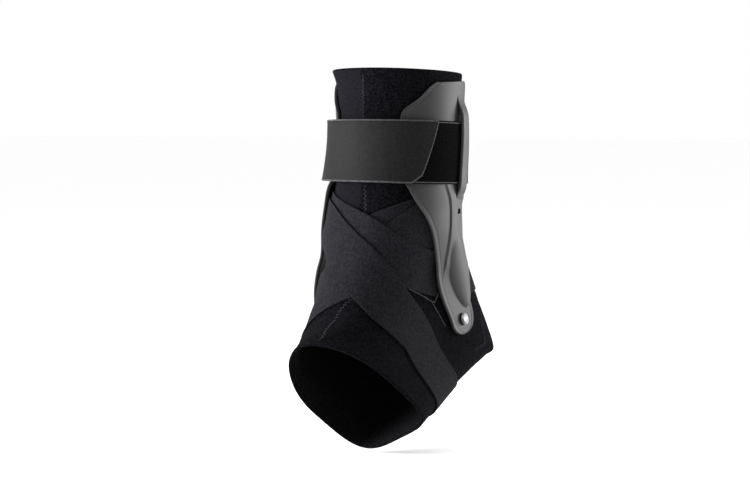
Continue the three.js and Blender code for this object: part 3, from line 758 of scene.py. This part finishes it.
def bone_bulge(side, along, turn):
    """The drop-shaped bulge over the ankle bone, pointed at its upper end, from 0 to 1."""
    top = skin(np.array([BULGE_TOP[0]]), on_side(side, np.array([BULGE_TOP[1]])))[0]
    foot = skin(np.array([BULGE_FOOT[0]]), on_side(side, np.array([BULGE_FOOT[1]])))[0]
    axis, span = unit(foot - top), np.linalg.norm(foot - top)
    away = skin(along, turn) - top
    down = (away @ axis) / span
    share = np.clip(down, 0, 1)
    apart = np.linalg.norm(away - (away @ axis)[:, None] * axis, axis=1)
    reach = BULGE_REACH * np.sqrt(np.clip(np.sin(np.pi * share**0.8), 0, 1)) + 0.01
    across = np.clip(1 - (apart / reach) ** 2, 0, 1) ** 0.75
    return np.where((down > 0) & (down < 1), across, 0) * np.sin(np.pi * share) ** 0.5


def raised_back(side, along, turn):
    """A low step behind the groove, where the guard's rear half stands a little proud, from 0 to 1."""
    line = GROOVE(np.clip((along - GROOVE_START) / (GROOVE_END - GROOVE_START), 0, 1))[:, 1]
    fade = ease(along, 0.19, 0.24) * (1 - ease(along, 0.42, 0.5))
    return fade * ease(on_side(side, turn) - line, -0.001, 0.003)


def edge_bead(reach, width):
    """The raised lip just inside the guard's edge, with a shallow channel beside it."""
    inside = np.abs(width) - np.abs(reach)
    return 0.15 * hump(inside, 0, 1.6) - 0.16 * hump(inside, 2.7, 0.7)


def flat_end(table, side, share, across, height):
    """Places on the flat round pad that the rivet goes through, square to the rivet."""
    steps = np.linspace(0, 1, 400)
    rows = table(steps)
    centres = skin(rows[:, 0], on_side(side, rows[:, 1]))
    travelled = np.concatenate([[0], np.cumsum(np.linalg.norm(np.diff(centres, axis=0), axis=1))])
    rivet = RIVET_PLACES[side][0]
    beyond = np.interp(share, steps, travelled) - np.interp(rivet, rows[:, 0], travelled)

    def turn_at(along):
        return on_side(side, np.interp(along, rows[:, 0], rows[:, 1]))

    def middle_at(along):
        return on_sleeve((along, turn_at(along)), np.interp(along, rows[:, 0], rows[:, 4]))

    above, below = (middle_at(rivet + offset) for offset in PAD_SLOPE)
    down = unit(below - above)
    normal = out_of_sleeve((rivet, turn_at(rivet)))
    normal = unit(normal - (normal @ down) * down)
    sideways = np.cross(down, normal)
    return middle_at(rivet) + down * beyond[:, None] + sideways * across[:, None] + normal * height[:, None]


def guard_plate(side):
    """The guard's plate with a beaded edge, a proud rear half and the bulge over the bone."""
    rows, flat, crown_share = 250, 90, 0.05
    across_wall, out, height = wall_outline(flat, 6, GUARD_WALL, rim=GUARD_ROUND)
    facing_front = -1 if side == "lateral" else 1
    table = GUARD[side]

    def route(share):
        at = table(share)
        return np.stack([at[:, 0], on_side(side, at[:, 1])], axis=1)

    def place(row, column):
        share = row / rows
        at = table(share)
        crown = np.sqrt(1 - 0.3 * np.clip((crown_share - share) / crown_share, 0, 1) ** 3)
        front = np.maximum(at[:, 2] * crown - GUARD_ROUND, 0.05)
        back = np.maximum(at[:, 3] * crown - GUARD_ROUND, 0.05)
        s = across_wall[column] * facing_front
        width = np.where(s < 0, front, back)
        reach = width * s
        along, turn, sideways = strip_places(route, share, reach * facing_front)
        bulge = BONE_BULGE * bone_bulge(side, along, turn)
        proud = np.maximum(BACK_STEP * raised_back(side, along, turn) - bulge, 0) + edge_bead(reach, width)
        top = height[column] > GUARD_WALL * 0.6
        thick = bulge + np.where(top, proud, 0) + height[column]
        curled = ease(at[:, 0], 0.23, 0.27) * (1 - ease(at[:, 0], 0.38, 0.47))
        curl = REAR_CURL * np.clip(s, 0, 1) ** 2 * curled
        curved = over(along, turn, at[:, 4] - curl + thick) + sideways * out[column][:, None]
        level = flat_end(table, side, share, reach * facing_front + out[column], thick)
        flatness = ease(at[:, 0], *PAD_BLEND)[:, None]
        return curved * (1 - flatness) + level * flatness

    return laid_piece(side + "_plate", rows, len(across_wall), place, capped=True)


def guard_keeper(side):
    """The upright bar that the strap passes under, blended into the plate at both ends."""
    rows, flat = 90, 14
    across_wall, out, height = wall_outline(flat, 6, 1, rim=KEEPER_ROUND)
    line = smooth_line(KEEPER_ROWS)
    keeper_turn = on_side(side, GUARD_TOP[0][1] + KEEPER_TURN)

    def route(share):
        return np.stack([line(share)[:, 0], np.full(len(share), keeper_turn)], axis=1)

    def place(row, column):
        share = row / rows
        at = line(share)
        half = KEEPER_WIDTH / 2 - KEEPER_WAIST + KEEPER_FLARE * np.abs(2 * share - 1) ** 3
        along, turn, sideways = strip_places(route, share, across_wall[column] * half)
        lift = strap_lift(at[:, 0]) - STRAP_GAP + at[:, 1] - at[:, 2] * (1 - height[column])
        return over(along, turn, lift) + sideways * out[column][:, None]

    return laid_piece(side + "_keeper", rows, len(across_wall), place, capped=True)


def stood_on_sleeve(bm, place, height=0):
    """Turns what stands on the origin to stand straight out of the sleeve at a place, in metres."""
    turned = Vector(out_of_sleeve(place)).to_track_quat("Z", "Y").to_matrix().to_4x4()
    turned.translation = Vector(on_sleeve(place, height) * MM)
    bmesh.ops.transform(bm, matrix=turned, verts=bm.verts)


def round_cutter(radius):
    bm = bmesh.new()
    size = radius * MM
    bmesh.ops.create_cone(bm, cap_ends=True, segments=40, radius1=size, radius2=size, depth=CUTTER_DEPTH * MM)
    return bm


def square_cutter(width, length):
    bm = bmesh.new()
    bmesh.ops.create_cube(bm, size=1)
    bmesh.ops.scale(bm, verts=bm.verts, vec=(width * MM, length * MM, CUTTER_DEPTH * MM))
    return bm


def bored(piece, cutter_shape, place):
    """Cuts a hole through a plate, straight out of the sleeve."""
    stood_on_sleeve(cutter_shape, place, CUTTER_HEIGHT)
    mesh = bpy.data.meshes.new("cutter")
    cutter_shape.to_mesh(mesh)
    cutter_shape.free()
    cutter = shown("cutter", mesh)
    apply_modifier(piece, "BOOLEAN", operation="DIFFERENCE", solver="EXACT", object=cutter)
    bpy.data.objects.remove(cutter)


def apply_modifier(piece, kind, **settings):
    modifier = piece.modifiers.new(kind.lower(), kind)
    for key, value in settings.items():
        setattr(modifier, key, value)
    shaped = bpy.data.meshes.new_from_object(piece.evaluated_get(bpy.context.evaluated_depsgraph_get()))
    piece.modifiers.clear()
    piece.data = shaped


def moulded_guard(side):
    """A guard moulded in one with its keeper, bored for the rivet and slotted on the outer side."""
    plate, keeper = guard_plate(side), guard_keeper(side)
    along, turn = RIVET_PLACES[side]
    bored(plate, round_cutter(RIVET_HOLE), (along, on_side(side, turn)))
    if side == "lateral":
        bored(plate, square_cutter(*SLOT_SIZE), SLOT_PLACE)
    apply_modifier(plate, "BOOLEAN", operation="UNION", solver="EXACT", object=keeper)
    bpy.data.objects.remove(keeper)
    plate.name = side + "_moulded_guard"
    for face in plate.data.polygons:
        face.use_smooth = True
    plate.data.set_sharp_from_angle(angle=math.radians(38))
    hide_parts(side + "_guard")
    return dress(plate, PLASTIC)


def rivet_outline(seat):
    """Half of the rivet's section, from flange to dome: distances from its axis, and heights."""
    inside = -SLEEVE_WALL - RIVET_GAP
    head, wall = RIVET_HEAD / 2, RIVET_RISE * HEAD_SIDE
    flange = [
        (0, inside - FLANGE_WALL), (RIVET_FLANGE - FLANGE_EDGE, inside - FLANGE_WALL),
        (RIVET_FLANGE, inside - FLANGE_WALL + FLANGE_EDGE), (RIVET_FLANGE, inside),
    ]
    shank = [(RIVET_SHANK, inside), (RIVET_SHANK, seat)]
    rim = [(head - HEAD_EDGE, seat), (head, seat + HEAD_EDGE), (head, seat + wall)]
    shares = (0.96, 0.85, 0.7, 0.5, 0.3, 0.12, 0)
    dome = [(head * share, seat + wall + (RIVET_RISE - wall) * (1 - share**2.4)) for share in shares]
    return flange + shank + rim + dome


def domed_rivet(side):
    """A turned rivet: domed head, shank and flat inner flange, and painted shade on the rim round the head, a
    darker steel standing in for the shadow in the gap round the head.
    """
    along, turn = RIVET_PLACES[side]
    spot = (along, on_side(side, turn))
    lift = np.interp(along, [row[0] for row in GUARD_ROWS[side]], [row[4] for row in GUARD_ROWS[side]])
    bm = bmesh.new()
    corners = [bm.verts.new((r * MM, 0, h * MM)) for r, h in rivet_outline(lift + GUARD_WALL + RIVET_GAP)]
    edges = [bm.edges.new(pair) for pair in zip(corners, corners[1:])]
    bmesh.ops.spin(
        bm, geom=corners + edges, cent=(0, 0, 0), axis=(0, 0, 1), angle=2 * math.pi, steps=40,
        use_merge=True, use_duplicate=False,
    )
    bmesh.ops.remove_doubles(bm, verts=bm.verts, dist=SAME_POINT / 2)
    bmesh.ops.recalc_face_normals(bm, faces=bm.faces)
    # Upright faces on the head's rim get the second material, the painted shade for the shadow in the gap
    # round the head
    painted_shade_from = (RIVET_HEAD / 2 - HEAD_EDGE) * MM
    for face in bm.faces:
        face.smooth = True
        upright = abs(face.normal.z) < 0.3
        face.material_index = int(upright and face.calc_center_median().xy.length > painted_shade_from)
    stood_on_sleeve(bm, spot)
    mesh = bpy.data.meshes.new(side + "_domed_rivet")
    bm.to_mesh(mesh)
    bm.free()
    mesh.set_sharp_from_angle(angle=math.radians(50))
    piece = shown(mesh.name, mesh)
    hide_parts(side + "_rivet")
    return dress(piece, STEEL, PAINTED_SHADE_STEEL)


def loose_at(turn):
    """Where the strap stands off behind each keeper bar, from 0 to 1."""
    return hump(turn, 0.375, 0.03) + hump(turn, 0.625, 0.03)


def strap_ring():
    """The strap's hooked layer round the leg."""
    rows, flat = 220, 24
    side, out, height = wall_outline(flat, 4, STRAP_WALL)
    middle, half = (STRAP_TOP + STRAP_BOTTOM) / 2, (STRAP_BOTTOM - STRAP_TOP) / 2

    def place(row, column):
        turn = row / rows
        along = middle + half * side[column] * 0.985
        lengthways = unit(skin(along + 0.01, turn) - skin(along - 0.01, turn))
        lift = strap_lift(along) + STRAP_LOOSE * loose_at(turn) + height[column]
        return over(along, turn, lift) + lengthways * out[column][:, None]

    piece = laid_piece("loop_strap", rows, len(side), place, cut=(0.1, 0.34))
    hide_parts("leg_strap")
    return dress(piece, LOOP)


def tab_place(across, down, height):
    """A place on the tab: across from its fold to its free end, down from its top edge."""
    end = TAB_END_TOP + (TAB_END_BOTTOM - TAB_END_TOP) * down
    turn = TAB_START + (end - TAB_START) * across
    along = STRAP_TOP + (STRAP_BOTTOM - STRAP_TOP) * down
    lowered = ease(turn, 0.76, 0.98)
    stacked = (TAB_RISE + KEEPER_WALL) * (1 - lowered) + (STRAP_WALL + STRAP_GAP) * lowered
    return over(along, turn, strap_lift(along) + stacked + height)


def tab_length_down(across):
    """How far down the tab reaches, from its fold to the rounded corner of its free end."""
    return 1 - ease(across, TAB_CORNER_START, 1.0) ** 2 * TAB_CORNER


def folded_tab():
    """The strap's end, folded back over the inner keeper and fastened across the front."""
    rows, flat = 220, 30
    side, _, height = wall_outline(flat, 4, TAB_WALL, rim=0.5)
    from_edge = (1 - np.abs(side)) * 24
    welt = np.where(height > TAB_WALL * 0.6, 0.25 * hump(from_edge, 2.6, 0.5), 0)

    def place(row, column):
        across = row / rows
        down = (0.5 + 0.5 * side[column]) * tab_length_down(across)
        return tab_place(across, down, height[column] - welt[column])

    piece = laid_piece("coated_tab", rows, len(side), place, capped=True, cut=(0.1, 0.2))
    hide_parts("strap_tab")
    return dress(piece, COATED)


def cord_along(name, points, radius, finish, closed=False, sides=8):
    """A thin round cord laid along points in millimetres."""
    points = np.array(points)
    count = len(points)
    ahead = np.roll(points, -1, axis=0) - np.roll(points, 1, axis=0)
    if not closed:
        ahead[0], ahead[-1] = points[1] - points[0], points[-1] - points[-2]
    ahead = unit(ahead)
    across = unit(np.cross(ahead, unit(points - np.array(CORD_SIDE))))
    out = np.cross(across, ahead)

    def place(row, column):
        row = row % count if closed else np.minimum(row, count - 1)
        angle = 2 * np.pi * column / sides
        turned = np.cos(angle)[:, None] * across[row] + np.sin(angle)[:, None] * out[row]
        return points[row] + radius * turned

    rows = count if closed else count - 1
    piece = laid_piece(name, rows, sides, place, capped=not closed, cut=(0.003, 0.3))
    return dress(piece, finish)


def strap_piping(name, along):
    """Piping round one edge of the strap."""
    count = 260
    turn = np.arange(count) / count
    lift = strap_lift(along) + STRAP_LOOSE * loose_at(turn) + STRAP_WALL * 0.6
    points = over(np.full(count, along), turn, lift)
    return cord_along(name, points, PIPING_RADIUS, PIPING, closed=True)


def tab_piping():
    """Piping along the tab's outline, from its fold along the top, round the free end and back."""
    across = np.linspace(0, 1, 170)
    down = np.linspace(0, 1, 40)[1:-1]
    height = TAB_WALL * 0.72
    low = tab_length_down(across)
    top = tab_place(across, 0 * across, height)
    end = tab_place(np.ones(len(down)), down * low[-1], height)
    bottom = tab_place(across, low, height)[::-1]
    return cord_along("tab_piping", np.concatenate([top, end, bottom]), PIPING_RADIUS, PIPING)


def thin_piping(name, lift, places):
    """Thin piping along places of the sleeve, at a height over it."""
    count = 60
    line = smooth_line(places)(np.linspace(0, 1, count))
    points = over(line[:, 0], line[:, 1], np.full(count, lift))
    return cord_along(name, points, THIN_PIPING_RADIUS, PIPING)


def zigzag_seam(name, width, stitches, places):
    """A zigzag of thread over a seam in the knit."""
    count = stitches * 8 + 1
    share = np.linspace(0, 1, count)
    line = smooth_line(places)(share)
    swing = np.abs((share * stitches) % 1 * 2 - 1) * 2 - 1
    forward = unit(np.gradient(skin(line[:, 0], line[:, 1]), axis=0))
    sideways = np.cross(forward, outward(line[:, 0], line[:, 1]))
    seam = over(line[:, 0], line[:, 1], np.full(count, THREAD_RISE))
    points = seam + sideways * (swing * width / 2)[:, None]
    return cord_along(name, points, THREAD_RADIUS, THREAD, sides=6)


# Floor, lamps and camera


def pale_floor():
    mesh = bpy.data.meshes.new("floor")
    bm = bmesh.new()
    bmesh.ops.create_grid(bm, x_segments=1, y_segments=1, size=FLOOR_SIZE)
    bmesh.ops.translate(bm, verts=bm.verts, vec=(0, 0, CAD_BOX[0][2] - FLOOR_DROP))
    bm.to_mesh(mesh)
    bm.free()
    finish, _, shader = new_finish("pale_floor", 0.9)
    shader.inputs["Base Color"].default_value = FLOOR_COLOUR
    mesh.materials.append(finish)
    shown("floor", mesh)


def placed(name, data, place, aim):
    """A lamp or camera at a place, looking at a point, in metres."""
    holder = shown(name, data)
    holder.location = place
    holder.rotation_euler = (Vector(aim) - Vector(place)).to_track_quat("-Z", "Y").to_euler()
    return holder


def studio():
    """A plain pale floor, a white world, soft lamps at both sides, and the camera."""
    world = bpy.data.worlds.new("studio")
    world.use_nodes = True
    world.node_tree.nodes["Background"].inputs["Color"].default_value = (1, 1, 1, 1)
    world.node_tree.nodes["Background"].inputs["Strength"].default_value = 1.0
    bpy.context.scene.world = world
    pale_floor()
    for name, place, size, power in LAMPS:
        lamp = bpy.data.lights.new(name, "AREA")
        lamp.shape = "DISK"
        lamp.size = size
        lamp.energy = power
        placed(name, lamp, place, LAMP_AIM)
    camera = bpy.data.cameras.new("camera")
    camera.sensor_width = SENSOR_WIDTH
    camera.lens = CAMERA_LENS
    bpy.context.scene.camera = placed("camera", camera, CAMERA_PLACE, CAMERA_AIM)
    bpy.context.scene.view_settings.view_transform = "Standard"


# Putting it together

knit_sleeve()
for k in range(len(BANDS)):
    elastic_band(k)
for side in ("lateral", "medial"):
    moulded_guard(side)
    domed_rivet(side)
strap_ring()
folded_tab()
strap_piping("strap_top_piping", STRAP_TOP + PIPING_INSET)
strap_piping("strap_bottom_piping", STRAP_BOTTOM - PIPING_INSET)
tab_piping()
for name, lift, places in PIPING_LINES:
    thin_piping(name, lift, places)
for name, width, stitches, places in SEAMS:
    zigzag_seam(name, width, stitches, places)
studio()
